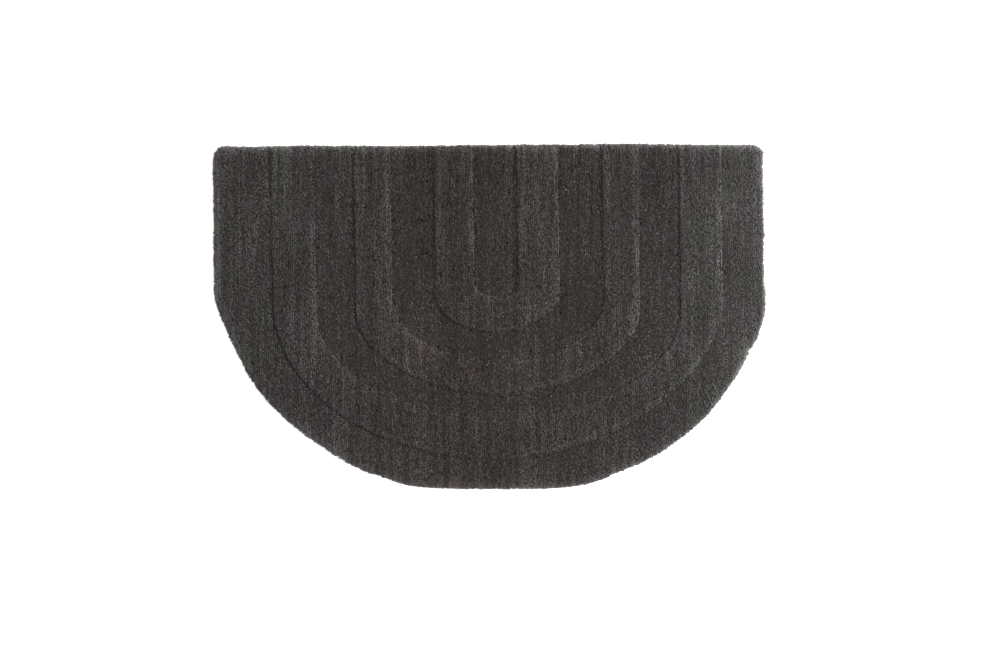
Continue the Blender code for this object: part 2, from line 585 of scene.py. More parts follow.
@dataclass
class Copies:
    """Where the copies of a shape stand, one row for each.

    Attributes:
        root: The place of the shape's origin.
        axis: Unit direction of the shape's Z.
        facing: Direction of the shape's X, which is squared to the axis.
        size: The shape's sizes along its own X, Y and Z.
        tone: How pale the wool is, from 0 to 1.
    """

    root: Floats
    axis: Floats
    facing: Floats
    size: Floats
    tone: Floats

    def __len__(self) -> int:
        """The number of copies."""
        return len(self.root)

    def some(self, chosen: NDArray[np.bool_]) -> "Copies":
        """The chosen copies alone."""
        return Copies(*(
            rows[chosen] for rows in (self.root, self.axis, self.facing, self.size, self.tone)
        ))

    def joined(self, name: str, shape: Shape, rng: np.random.Generator,
               fleck: float = 0.0) -> bpy.types.Object:
        """Makes one mesh object of all the copies.

        Args:
            name: The object's name.
            shape: The form that is copied.
            rng: Draws each copy's variant and its flecks.
            fleck: How much the tone varies from point to point, as a share.

        Returns:
            The object, with its tone, its rise and its bake map.
        """
        count, per_copy = len(self), shape.variants.shape[1]
        forms = shape.variants[rng.integers(0, len(shape.variants), count)] * self.size[:, None]
        axis = self.axis
        side = unit(self.facing - axis * (self.facing * axis).sum(axis=1, keepdims=True))
        third = np.cross(axis, side)
        places = (
            self.root[:, None]
            + forms[:, :, :1] * side[:, None]
            + forms[:, :, 1:2] * third[:, None]
            + forms[:, :, 2:] * axis[:, None]
        )
        corners = (shape.triangles[None] + (np.arange(count) * per_copy)[:, None, None]).ravel()
        mesh = bpy.data.meshes.new(name)
        mesh.vertices.add(count * per_copy)
        mesh.vertices.foreach_set("co", places.astype(np.float32).ravel())
        mesh.loops.add(len(corners))
        mesh.loops.foreach_set("vertex_index", corners.astype(np.int32))
        mesh.polygons.add(len(corners) // 3)
        mesh.polygons.foreach_set("loop_start", np.arange(0, len(corners), 3, dtype=np.int32))
        mesh.update(calc_edges=True)
        mesh.shade_smooth()
        flecks = rng.uniform(-1, 1, (count, shape.draws))[:, :per_copy]
        tones = self.tone[:, None] * (1 + fleck * flecks)
        rises = np.tile(shape.variants[0][:, 2], count)
        for label, values in ((TONE, tones.clip(0, 1).ravel()), (RISE, rises)):
            layer = mesh.attributes.new(label, "FLOAT", "POINT")
            layer.data.foreach_set("value", values.astype(np.float32))
        self.lay_map(mesh, shape, count)
        piece = bpy.data.objects.new(name, mesh)
        bpy.context.scene.collection.objects.link(piece)
        return piece

    @staticmethod
    def lay_map(mesh: bpy.types.Mesh, shape: Shape, count: int) -> None:
        """Gives each copy its own square of a map.

        Args:
            mesh: The joined mesh.
            shape: The form that was copied.
            count: The number of copies.
        """
        across = math.ceil(math.sqrt(count))
        squares = np.stack(np.divmod(np.arange(count), across), axis=1)
        places = (squares[:, None, None] + shape.patches[None]) / across
        layer = mesh.uv_layers.new(name=BAKE_MAP)
        layer.uv.foreach_set("vector", places.astype(np.float32).ravel())


def belongs(piece: bpy.types.Object, material: bpy.types.Material) -> bpy.types.Object:
    """Puts a finish on a piece and makes it part of the rug.

    Args:
        piece: The finished object.
        material: Its finish.

    Returns:
        The same object.
    """
    piece.data.materials.clear()
    piece.data.materials.append(material)
    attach(piece, BODY)
    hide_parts(RUG_NODE)
    log.info("%s: %d faces", piece.name, len(piece.data.polygons))
    return piece


class Term:
    """A node's output that takes part in Python sums, each of which adds a Math node."""

    def __init__(self, sheet: "NodeSheet", socket: bpy.types.NodeSocket) -> None:
        """Keeps the output and the sheet that it is on."""
        self.sheet, self.socket = sheet, socket

    def __add__(self, other: "Term | float") -> "Term":
        """The sum."""
        return self.sheet.maths("ADD", self, other)

    def __mul__(self, other: "Term | float") -> "Term":
        """The product."""
        return self.sheet.maths("MULTIPLY", self, other)

    def __sub__(self, other: "Term | float") -> "Term":
        """The difference."""
        return self.sheet.maths("SUBTRACT", self, other)

    def __rsub__(self, other: float) -> "Term":
        """The difference from a number."""
        return self.sheet.maths("SUBTRACT", other, self)

    def __pow__(self, other: float) -> "Term":
        """The power."""
        return self.sheet.maths("POWER", self, other)

    __radd__ = __add__
    __rmul__ = __mul__


class NodeSheet:
    """A material's node tree, to which nodes are added by type."""

    def __init__(self, name: str) -> None:
        """Starts an empty material of that name."""
        self.material = bpy.data.materials.new(name)
        self.material.use_nodes = True
        self.tree = self.material.node_tree
        self.tree.nodes.clear()

    def node(self, kind: str, settings: dict[str, object] | None = None,
             sockets: dict[str | int, object] | None = None) -> bpy.types.Node:
        """Adds a node.

        Args:
            kind: The node's type.
            settings: Its own settings, which are set first.
            sockets: A value or a Term for each input, by name or number.

        Returns:
            The node.
        """
        made = self.tree.nodes.new(kind)
        for name, value in (settings or {}).items():
            setattr(made, name, value)
        for name, value in (sockets or {}).items():
            if isinstance(value, Term):
                self.tree.links.new(value.socket, made.inputs[name])
            else:
                made.inputs[name].default_value = value
        return made

    def term(self, made: bpy.types.Node, output: str | int = 0) -> Term:
        """One of a node's outputs, for use in sums."""
        return Term(self, made.outputs[output])

    def maths(self, operation: str, *values: "Term | float") -> Term:
        """The result of a Math node on values, Terms or both."""
        settings = {"operation": operation}
        return self.term(self.node("ShaderNodeMath", settings, dict(enumerate(values))))

    def mixed(self, share: "Term | float", first: "Term | Colour",
              second: "Term | Colour", blend: str = "MIX") -> Term:
        """A colour between two colours, or one blended with the other."""
        settings = {"data_type": "RGBA", "clamp_factor": True, "blend_type": blend}
        return self.term(self.node("ShaderNodeMix", settings, {0: share, 6: first, 7: second}), 2)

    def attribute(self, name: str) -> Term:
        """A number that the mesh holds at its points."""
        return self.term(self.node("ShaderNodeAttribute", {"attribute_name": name}), "Fac")

    def place(self) -> Term:
        """The place on the object, in metres."""
        return self.term(self.node("ShaderNodeTexCoord"), "Object")

    def across(self) -> Term:
        """How far to the right of the rug's middle the place is, in metres."""
        return self.term(self.node("ShaderNodeSeparateXYZ", None, {0: self.place()}), "X")

    def stretched(self, scale: tuple[float, float, float]) -> Term:
        """The place on the object, times a number along each axis."""
        sockets = {"Vector": self.place(), "Scale": scale}
        return self.term(self.node("ShaderNodeMapping", None, sockets))

    def noise(self, at: Term, scale: float, detail: float = 2.0) -> Term:
        """Noise between 0 and 1, with that many waves a metre."""
        sockets = {"Vector": at, "Scale": scale, "Detail": detail}
        return self.term(self.node("ShaderNodeTexNoise", None, sockets), "Fac")

    def bump(self, height: Term, strength: float, depth: float) -> Term:
        """A surface normal from a height."""
        sockets = {"Strength": strength, "Distance": depth, "Height": height}
        return self.term(self.node("ShaderNodeBump", None, sockets), "Normal")

    def finish(self, sockets: dict[str | int, object]) -> bpy.types.Material:
        """Ends the tree in a Principled shader with these inputs.

        Args:
            sockets: A value or a Term for each of the shader's inputs.

        Returns:
            The material.
        """
        shader = self.node("ShaderNodeBsdfPrincipled", None, sockets)
        output = self.node("ShaderNodeOutputMaterial")
        self.tree.links.new(shader.outputs[0], output.inputs["Surface"])
        return self.material


@dataclass(frozen=True)
class WoolFinish:
    """Charcoal wool, with painted shade that darkens each tuft towards its foot, so it is paler at
    the cut tips.

    Attributes:
        deep: Colour of the darkest fibre.
        pale: Colour of the palest fibre, at tone 1.
        warm: The same in the rug's middle, where the wool is a little browner.
        warm_reach: How far from the middle line the browner wool lies.
        rosy: What the colour is multiplied by in the reddest patches.
        olive: The same in the greenest patches.
        patches: How many patches lie in a metre.
        patch_contrast: How quickly the colour changes from one patch to the next.
        root_shade: The share of its colour that a tuft keeps at its foot, under painted shade.
        heather: How much single fibres differ from each other.
        fibres: How many fibres lie in a metre.
        fibre_stretch: How much finer they are along each axis.
        smoother: How much less rough the palest fibres are.
    """

    name: str = "charcoal_wool"
    deep: Colour = (0.0092, 0.0055, 0.0046, 1)
    pale: Colour = (0.3380, 0.3340, 0.3295, 1)
    warm: Colour = (0.3690, 0.3340, 0.3310, 1)
    warm_reach: float = 0.20
    rosy: Colour = (1.10, 1.0, 1.05, 1)
    olive: Colour = (0.93, 1.0, 0.92, 1)
    patches: float = 28.0
    patch_contrast: float = 2.4
    root_shade: float = 0.32
    heather: float = 0.35
    fibres: float = 900.0
    fibre_stretch: tuple[float, float, float] = (1.0, 0.6, 0.6)
    roughness: float = 0.92
    smoother: float = 0.12
    specular: float = 0.06
    sheen: float = 0.015
    sheen_roughness: float = 0.6
    relief: float = 0.15 * MILLIMETRE
    relief_strength: float = 0.5

    def material(self) -> bpy.types.Material:
        """Makes the finish.

        Returns:
            The material.
        """
        sheet = NodeSheet(self.name)
        fibre = sheet.noise(sheet.stretched(self.fibre_stretch), self.fibres)
        # Painted shade: each tuft's colour darkens from its tip down to its foot.
        lit = self.root_shade + (1 - self.root_shade) * sheet.attribute(RISE)
        shade = sheet.attribute(TONE) * lit * (1 + self.heather * (fibre - 0.5))
        across = sheet.across() * (1 / self.warm_reach)
        middle = sheet.maths("EXPONENT", across ** 4 * -1)
        palest = sheet.mixed(middle, self.pale, self.warm)
        patch = sheet.noise(sheet.place(), self.patches, 1.0) * self.patch_contrast
        patch = patch - (self.patch_contrast - 1) / 2
        tint = sheet.mixed(patch, self.rosy, self.olive)
        return sheet.finish({
            "Base Color": sheet.mixed(1.0, sheet.mixed(shade, self.deep, palest), tint, "MULTIPLY"),
            "Roughness": self.roughness - self.smoother * fibre,
            "Specular IOR Level": self.specular,
            "Sheen Weight": self.sheen,
            "Sheen Roughness": self.sheen_roughness,
            "Normal": sheet.bump(fibre, self.relief_strength, self.relief),
        })


@dataclass(frozen=True)
class GroundFinish:
    """The woven ground: plain weave with the wool's stitches showing in rows, and painted shade
    where its top lies between the tufts.

    Attributes:
        thread: Colour of the ground's threads.
        stitch: Colour of the wool in the stitches.
        between: Colour of the painted shade on the ground's top between the tufts.
        paler_right: The same along the rug's right side, where the painted shade is lighter.
        paler_right_span: Where across the rug the painted shade begins to be lighter, and where it
            is lightest.
        row: The distance between rows of stitches.
        closer: How much closer the stitches are along a row than the rows are.
        fuzz: How many fibres lie in a metre.
        underside: The ground's height at which the painted shade begins.
    """

    name: str = "woven_ground"
    thread: Colour = (0.030, 0.027, 0.026, 1)
    stitch: Colour = (0.012, 0.011, 0.0105, 1)
    between: Colour = (0.0232, 0.0194, 0.0184, 1)
    paler_right: Colour = (0.0325, 0.0288, 0.0275, 1)
    paler_right_span: tuple[float, float] = (0.24, 0.36)
    row: float = 2.7 * MILLIMETRE
    closer: float = 1.25
    fuzz: float = 700.0
    underside: float = 0.5 * MILLIMETRE
    specular: float = 0.2
    relief: float = 0.5 * MILLIMETRE
    relief_strength: float = 0.8

    def material(self) -> bpy.types.Material:
        """Makes the finish.

        Returns:
            The material.
        """
        sheet = NodeSheet(self.name)
        parts = sheet.node("ShaderNodeSeparateXYZ", None, {0: sheet.place()})
        x, y, z = (sheet.term(parts, axis) for axis in "XYZ")
        waves = 2 * math.pi / self.row
        warp = sheet.maths("SINE", x * waves) * 0.5 + 0.5
        weft = sheet.maths("SINE", y * (waves * self.closer)) * 0.5 + 0.5
        wool = sheet.noise(sheet.place(), self.fuzz)
        stitches = warp * (0.45 + 0.55 * weft)
        height = stitches + wool * 0.5
        weave = sheet.mixed(stitches * (0.6 + 0.8 * wool), self.thread, self.stitch)
        start, end = self.paler_right_span
        # Painted shade on the ground's top between the tufts, lighter along the right side.
        shade_between = sheet.mixed((x - start) * (1 / (end - start)), self.between, self.paler_right)
        return sheet.finish({
            "Base Color": sheet.mixed(z * (0.5 / self.underside), weave, shade_between),
            "Roughness": 0.88 + 0.1 * wool,
            "Specular IOR Level": self.specular,
            "Normal": sheet.bump(height, self.relief_strength, self.relief),
        })


@dataclass(frozen=True)
class FloorFinish:
    """A matt, nearly white studio floor that is lit a little from below.

    Attributes:
        colour: Colour of the panel.
        glow: How brightly it shines by itself, which keeps shadows on it pale.
    """

    name: str = "studio_floor"
    colour: Colour = (0.90, 0.90, 0.90, 1)
    glow: float = 0.75

    def material(self) -> bpy.types.Material:
        """Makes the finish.

        Returns:
            The material.
        """
        sheet = NodeSheet(self.name)
        return sheet.finish({
            "Base Color": self.colour, "Roughness": 1.0, "Specular IOR Level": 0.0,
            "Emission Color": self.colour, "Emission Strength": self.glow,
        })


@dataclass
class Ground:
    """The woven ground that holds the tufts.

    Attributes:
        form: The rug's shape.
        pile_left: How far the ground lies under the solid's surface.
        underside: The height over which a face isn't part of the underside.
    """

    form: RugForm
    pile_left: float = 1.2 * MILLIMETRE
    underside: float = 0.01 * MILLIMETRE

    def build(self) -> bpy.types.Object:
        """Draws the solid's top and sides in under the pile.

        Returns:
            The ground.
        """
        piece = bpy.data.objects.new("woven_ground", self.form.mesh)
        bpy.context.scene.collection.objects.link(piece)
        with editing(piece):
            self.select_top(piece)
            bpy.ops.transform.shrink_fatten(value=-self.pile_left, use_even_offset=False)
            bpy.ops.mesh.select_all(action="SELECT")
            bpy.ops.transform.translate(value=(0, 0, -self.lowest(piece)))
            bpy.ops.mesh.normals_make_consistent(inside=False)
        piece.data.shade_flat()
        return belongs(piece, GroundFinish().material())

    def select_top(self, piece: bpy.types.Object) -> None:
        """Selects the faces over the underside of a piece in edit mode.

        A face that stays unselected takes back the points that it shares with those before it.

        Args:
            piece: The ground.
        """
        mesh = bmesh.from_edit_mesh(piece.data)
        for face in mesh.faces:
            face.select_set(face.calc_center_median().z > self.underside)
        mesh.select_flush_mode()
        bmesh.update_edit_mesh(piece.data)

    @staticmethod
    def lowest(piece: bpy.types.Object) -> float:
        """The height of the lowest point of a piece in edit mode."""
        return min(vert.co.z for vert in bmesh.from_edit_mesh(piece.data).verts)


@dataclass(frozen=True)
class PaintedEdgeLight:
    """Painted light and shade in the wool's tone beside the arch walls, as if lit by the lamp on
    the right.

    Attributes:
        lit: Painted highlight on the raised pile's edge where it faces right, towards the lamp, for
            x and tone.
        shaded: Painted shade on one that faces left, away from the lamp, for x and tone.
        ridge_highlight: Painted highlight on an edge that faces down the rug.
        crease_shade: Painted shade at the foot of such an edge.
        trough_shade: Painted shade on the low pile beside a lit edge, for x and tone.
        bounce: Painted light on the low pile beside a shaded edge.
        lit_power: How slowly the light edges fade where they turn down the rug.
        reach: How far from a wall its edge changes the tone.
    """

    lit: Steps = (
        (-0.30, 0.40), (-0.16, 0.55), (0.0, 0.55), (0.06, 0.48), (0.17, 0.74), (0.30, 1.08),
    )
    shaded: Steps = (
        (-0.36, -0.25), (-0.24, 0.24), (-0.12, 0.0), (0.0, 0.02), (0.12, -0.32), (0.24, -0.35),
    )
    trough_shade: Steps = ((-0.30, 0.21), (-0.07, 0.28), (0.06, 0.55), (0.17, 0.44), (0.29, 0.29))
    ridge_highlight: float = 0.22
    crease_shade: float = 0.30
    bounce: float = 0.24
    lit_power: float = 0.5
    reach: float = 4.5 * MILLIMETRE
    crease_reach: float = 1.5 * MILLIMETRE
    trough_reach: float = 9.0 * MILLIMETRE

    def at(self, spots: Floats, around: Surroundings) -> Floats:
        """The painted light and shade at each place, as a change of tone.

        Args:
            spots: Places, one row of x and y each.
            around: Their surroundings.

        Returns:
            A power of e for each place.
        """
        lit, shaded = around.downhill[:, 0].clip(0, 1), (-around.downhill[:, 0]).clip(0, 1)
        aside = 1 - lit - shaded
        lit = lit**self.lit_power
        # Painted highlight and shade on the raised pile at each wall.
        turned = around.near_wall(self.reach) * (
            lit * curve(self.lit, spots[:, 0]) - shaded * curve(self.shaded, spots[:, 0])
            + aside * self.ridge_highlight
        )
        # Painted shade and light on the low pile beside each wall.
        low = (
            around.near_wall(self.reach) * shaded * self.bounce
            - around.near_wall(self.trough_reach) * lit * curve(self.trough_shade, spots[:, 0])
        )
        # Painted shade at the foot of walls that face down the rug.
        facing_down = (-around.downhill[:, 1]).clip(0, 1)
        crease_shade = around.near_wall(self.crease_reach) * facing_down * self.crease_shade
        return np.where(around.raised, turned, low) - crease_shade


@dataclass
class WoolToneAndLight:
    """How pale the wool is from place to place, as powers of e round a middle tone, with painted
    light and shade at the rim and beside the arch walls.

    Attributes:
        middle: The tone that the rest is worked out from.
        rows: Single rows of tufts differ by this much.
        stripes: Groups of rows differ by this much.
        clouds: Large patches differ by this much.
        flecks: Neighbouring tufts differ by this much, as a share of their tone.
        single: Each tuft differs by this much on its own, as a share of its tone.
        hollows: How much darker the low pile inside the arches is, for y and tone.
        rim: How much paler the pile is at the rim, as a painted highlight on its turned-out side.
        rim_bearing: How much more of that painted highlight there is where the rim faces +X,
            towards the lamp, and where it faces +Y.
        rim_sides: How much less it is where the rim faces either way along X.
        edges: The painted light and shade beside the arch walls.
        broken: How much that differs from place to place, as a share.
        across: How much paler the rug is at some places across it, for x and tone.
        calm: How much less tufts differ where the rug is paler, as a power of e.
        darkest: The least tone of all.
    """

    middle: float = 0.187
    darkest: float = 0.01
    rows: float = 0.38
    stripes: float = 0.17
    clouds: float = 0.17
    flecks: float = 0.15
    single: float = 0.19
    hollows: Steps = ((-0.12, 0.0), (-0.03, 0.13), (0.05, 0.22))
    rim: float = 1.08
    rim_bearing: tuple[float, float] = (0.32, 0.25)
    rim_sides: float = 0.24
    rim_reach: float = 6.0 * MILLIMETRE
    edges: PaintedEdgeLight = PaintedEdgeLight()
    broken: float = 0.8
    calm: float = 1.2
    across: Steps = (
        (-0.40, 0.23), (-0.28, 0.13), (-0.16, 0.03), (-0.04, -0.02), (0.07, 0.08),
        (0.20, 0.06), (0.25, 0.09), (0.31, 0.25), (0.36, 0.47), (0.40, 0.48),
    )
    seed: int = 5
    noises: dict[str, NoiseField] = field(init=False)

    def __post_init__(self) -> None:
        """Draws the noises."""
        cells = {
            "row": (2.7 * MILLIMETRE, 0.055),
            "stripe": (8 * MILLIMETRE, 0.11),
            "cloud": (0.05, 0.07),
            "fleck": (2.6 * MILLIMETRE, 3.6 * MILLIMETRE),
            "edge": (0.020, 0.030),
        }
        self.noises = {
            name: NoiseField(cell, self.seed + number)
            for number, (name, cell) in enumerate(cells.items())
        }

    def at(self, spots: Floats, around: Surroundings, rng: np.random.Generator) -> Floats:
        """The tone at each place.

        Args:
            spots: Places, one row of x and y each.
            around: Their surroundings.
            rng: Draws each tuft's own share.

        Returns:
            A tone from 0 to 1 for each place.
        """
        noise = {name: lattice.at(spots) for name, lattice in self.noises.items()}
        # Painted highlight along the rim, stronger where the rim faces the lamp.
        bearing = self.rim + around.outwards @ np.array(self.rim_bearing)
        bearing -= self.rim_sides * around.outwards[:, 0] ** 2
        stretch = (
            self.rows * noise["row"]
            + self.stripes * noise["stripe"]
            + self.clouds * noise["cloud"]
            - around.hollow * curve(self.hollows, spots[:, 1])
            + bearing * around.near_rim(self.rim_reach)
            # Painted light and shade beside the arch walls.
            + self.edges.at(spots, around) * (1 + self.broken * noise["edge"])
            + curve(self.across, spots[:, 0])
        )
        grain = self.flecks * noise["fleck"] + self.single * rng.laplace(0, 1, len(spots))
        even = 1 + grain * np.exp(-self.calm * stretch)
        return (self.middle * np.exp(stretch) * even).clip(self.darkest, 1)


@dataclass
class WoolWork:
    """What each maker of wool pieces works with.

    Attributes:
        form: The rug's shape.
        finish: The wool.
        tone: How pale the wool is from place to place, with painted light and shade.
    """

    form: RugForm
    finish: bpy.types.Material
    tone: WoolToneAndLight


@dataclass
class Pile(WoolWork):
    """The tufts, in rows that run from the straight edge to the curved one.

    Attributes:
        pitch: The distance between rows, and between tufts in a row.
        stand: The length that a tuft is given, which ends at the solid's surface.
        widths: How much a tuft's width varies, as shares.
        turned: How far tufts are turned at random, as an angle.
        fleck: How much the tone varies over a tuft, as a share.
        uneven_top: How unevenly the tufts are cut.
        pit: How much lower a few tufts are cut than the rest.
        pit_share: The share of such tufts.
        wall_gap: How near a wall the straight rows come.
        wall_rows: Where the rows beside a wall stand, above 0 on its low side.
        rim_gap: How near the rim the straight rows come.
        rim_rows: How far inside the rim the rows that follow it stand.
        room: How far from its neighbours a tuft is that fills a gap between such rows.
        search: How far from the walls and the rim such gaps are looked for.
        splay: How far the tufts at the rim lean outwards, as a slope.
        turn_over: How far the tufts at a wall lean over it, as a slope.
        wall_wander: How far the rows beside a wall wander from it.
        soft_step: How far the raised tufts right at a wall round its step off.
        step_change: How much that differs from place to place, as a share.
        low_lean: How much of their lean the low tufts at a wall have.
        low_step: How much of the rounding raises the low tufts at a wall.
        rim_shift: How far outwards the tufts at the rim are moved.
        wall_shift: How far over a wall the tufts beside it are moved.
        lowest_root: The least height of a root.
    """

    seed: int = 11
    pitch: float = 2.7 * MILLIMETRE
    stand: float = 2.5 * MILLIMETRE
    half_width: float = 1.70 * MILLIMETRE
    widths: tuple[float, float] = (0.82, 1.18)
    turned: float = 0.6
    fleck: float = 0.15
    tuft_length: float = 1.12
    row_wander: float = 0.8 * MILLIMETRE
    jitter: float = 0.50 * MILLIMETRE
    uneven_top: float = 0.28 * MILLIMETRE
    top_limits: tuple[float, float] = (-2 * MILLIMETRE, 0.6 * MILLIMETRE)
    pit: float = 1.9 * MILLIMETRE
    pit_share: float = 0.08
    loose_lean: float = 0.17
    wall_gap: float = 4.6 * MILLIMETRE
    wall_rows: tuple[float, ...] = (
        -3.4 * MILLIMETRE, -1.2 * MILLIMETRE, 1.1 * MILLIMETRE, 3.4 * MILLIMETRE,
    )
    rim_gap: float = 6.0 * MILLIMETRE
    rim_rows: tuple[float, ...] = (0.9 * MILLIMETRE, 2.9 * MILLIMETRE, 5.0 * MILLIMETRE)
    room: float = 1.75 * MILLIMETRE
    search: float = 8.0 * MILLIMETRE
    splay: float = 1.3
    splay_reach: float = 4.5 * MILLIMETRE
    turn_over: float = 0.2
    turn_reach: float = 5.0 * MILLIMETRE
    wall_wander: float = 0.7 * MILLIMETRE
    wander_cell: tuple[float, float] = (0.014, 0.014)
    soft_step: float = 1.8 * MILLIMETRE
    soft_reach: float = 1.6 * MILLIMETRE
    step_cell: tuple[float, float] = (0.022, 0.035)
    step_change: float = 0.7
    low_lean: float = 0.2
    low_step: float = 0.8
    rim_shift: float = 0.8 * MILLIMETRE
    wall_shift: float = 0.3 * MILLIMETRE
    lowest_root: float = 0.3 * MILLIMETRE
    rng: np.random.Generator = field(init=False)

    def __post_init__(self) -> None:
        """Starts the random draws."""
        self.rng = np.random.default_rng(self.seed)

    def build(self) -> list[bpy.types.Object]:
        """Builds the tufts of each band.

        Returns:
            One piece for each band.
        """
        shape = TuftForm().model()
        spots = self.filled(np.vstack([self.in_rows(), self.beside_walls(), self.round_rim()]))
        around = self.form.around(spots)
        copies = self.stood(spots, around)
        pieces = []
        for band in Band:
            chosen = copies.some(around.band == band.value)
            name = f"pile_{band.name.lower()}"
            piece = chosen.joined(name, shape, self.rng, self.fleck)
            pieces.append(belongs(piece, self.finish))
        return pieces

    def in_rows(self) -> Floats:
        """Places of the tufts that stand in straight rows, clear of the walls and the rim."""
        low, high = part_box(RUG_NODE)
        columns = np.arange(low.x, high.x, self.pitch)
        steps = np.arange(low.y, high.y, self.pitch)
        x, y = (part.ravel().astype(float) for part in np.meshgrid(columns, steps, indexing="ij"))
        phase = np.repeat(self.rng.uniform(0, self.pitch, len(columns)), len(steps))
        spots = np.stack([x, y + phase], axis=1)
        spots[:, 0] += self.row_wander * NoiseField((2 * self.pitch, 0.05), self.seed).at(spots)
        spots += self.rng.uniform(-self.jitter, self.jitter, spots.shape)
        spots = spots[self.form.rim.encloses(spots)]
        spots = spots[self.form.rim.nearest(spots)[0] > self.rim_gap]
        for wall in self.form.walls:
            spots = spots[wall.nearest(spots)[0] > self.wall_gap]
        return spots

    def beside_walls(self) -> Floats:
        """Places of the rows of tufts that follow each arch wall."""
        rows = []
        wander = NoiseField(self.wander_cell, self.seed)
        for wall, low_side in zip(self.form.walls, self.form.low_sides):
            for aside in self.wall_rows:
                spots, right = wall.beside(aside * low_side, self.pitch, 0.5)
                rows.append(spots + right * self.wall_wander * wander.at(spots)[:, None])
        spots = np.vstack(rows)
        spots = spots + self.rng.uniform(-0.7, 0.7, spots.shape) * self.jitter
        return spots[self.form.rim.nearest(spots)[0] > self.rim_gap]

    def round_rim(self) -> Floats:
        """Places of the rows of tufts that follow the rim."""
        rows = []
        for number, inset in enumerate(self.rim_rows):
            spots, outwards = self.form.rim.beside(-inset, self.pitch, 0.5 * number)
            shifts = self.rng.uniform(-0.4, 0.4, len(spots)) * self.jitter
            rows.append(spots + outwards * shifts[:, None])
        return np.vstack(rows)

    def filled(self, spots: Floats) -> Floats:
        """Adds tufts in the gaps between the straight rows and those beside a wall or the rim.

        Args:
            spots: The tufts' places so far.

        Returns:
            All the places.
        """
        asides = np.arange(-self.search, self.search, self.room / 3)
        lines = [*self.form.walls, self.form.rim]
        found = np.vstack([line.beside(a, self.room / 2)[0] for line in lines for a in asides])
        found = found[self.form.rim.encloses(found)]
        found = found[self.form.rim.nearest(found)[0] > self.room]
        tree = search_tree(spots)
        room = np.array([tree.find((x, y, 0))[2] for x, y in found])
        added, count = np.empty_like(found), 0
        for spot in found[np.argsort(-room)][: (room > self.room).sum()]:
            if (np.hypot(*(added[:count] - spot).T) > self.room).all():
                added[count] = spot
                count += 1
        log.info("%d tufts fill gaps", count)
        return np.vstack([spots, added[:count]])

    def stood(self, spots: Floats, around: Surroundings) -> Copies:
        """Stands a tuft at each place, with the end of its length at the solid's surface.

        Args:
            spots: Places, one row of x and y each.
            around: Their surroundings.

        Returns:
            The tufts.
        """
        rng, count = self.rng, len(spots)
        near_rim = around.near_rim(self.splay_reach)[:, None]
        over = around.near_wall(self.turn_reach) * np.where(around.raised, 1.0, self.low_lean)
        lean = (
            self.splay * near_rim * around.outwards
            + self.turn_over * over[:, None] * around.downhill
            + rng.normal(0, self.loose_lean, (count, 2))
        )
        axis = unit(np.column_stack([lean, np.ones(count)]))
        uneven = rng.normal(0, self.uneven_top, count).clip(*self.top_limits)
        uneven -= self.pit * (rng.uniform(0, 1, count) < self.pit_share)
        share = 1 + self.step_change * NoiseField(self.step_cell, self.seed + 1).at(spots)
        rounding = self.soft_step * around.near_wall(self.soft_reach) * share
        rounding = np.where(around.raised, -rounding, self.low_step * rounding)
        tips = np.column_stack([spots, around.height + uneven + rounding])
        tips[:, :2] += (
            self.rim_shift * near_rim**2 * around.outwards
            + self.wall_shift * over[:, None] * around.downhill
        )
        turn = rng.uniform(-self.turned, self.turned, count) + math.pi / 4
        facing = np.column_stack([np.cos(turn), np.sin(turn), np.zeros(count)])
        wide = self.half_width * rng.uniform(*self.widths, (count, 2))
        wide[:, 1] *= self.tuft_length
        size = np.column_stack([wide, np.full(count, self.stand)])
        root = tips - axis * self.stand
        root[:, 2] = root[:, 2].clip(self.lowest_root, None)
        return Copies(root, axis, facing, size, self.tone.at(spots, around, rng))


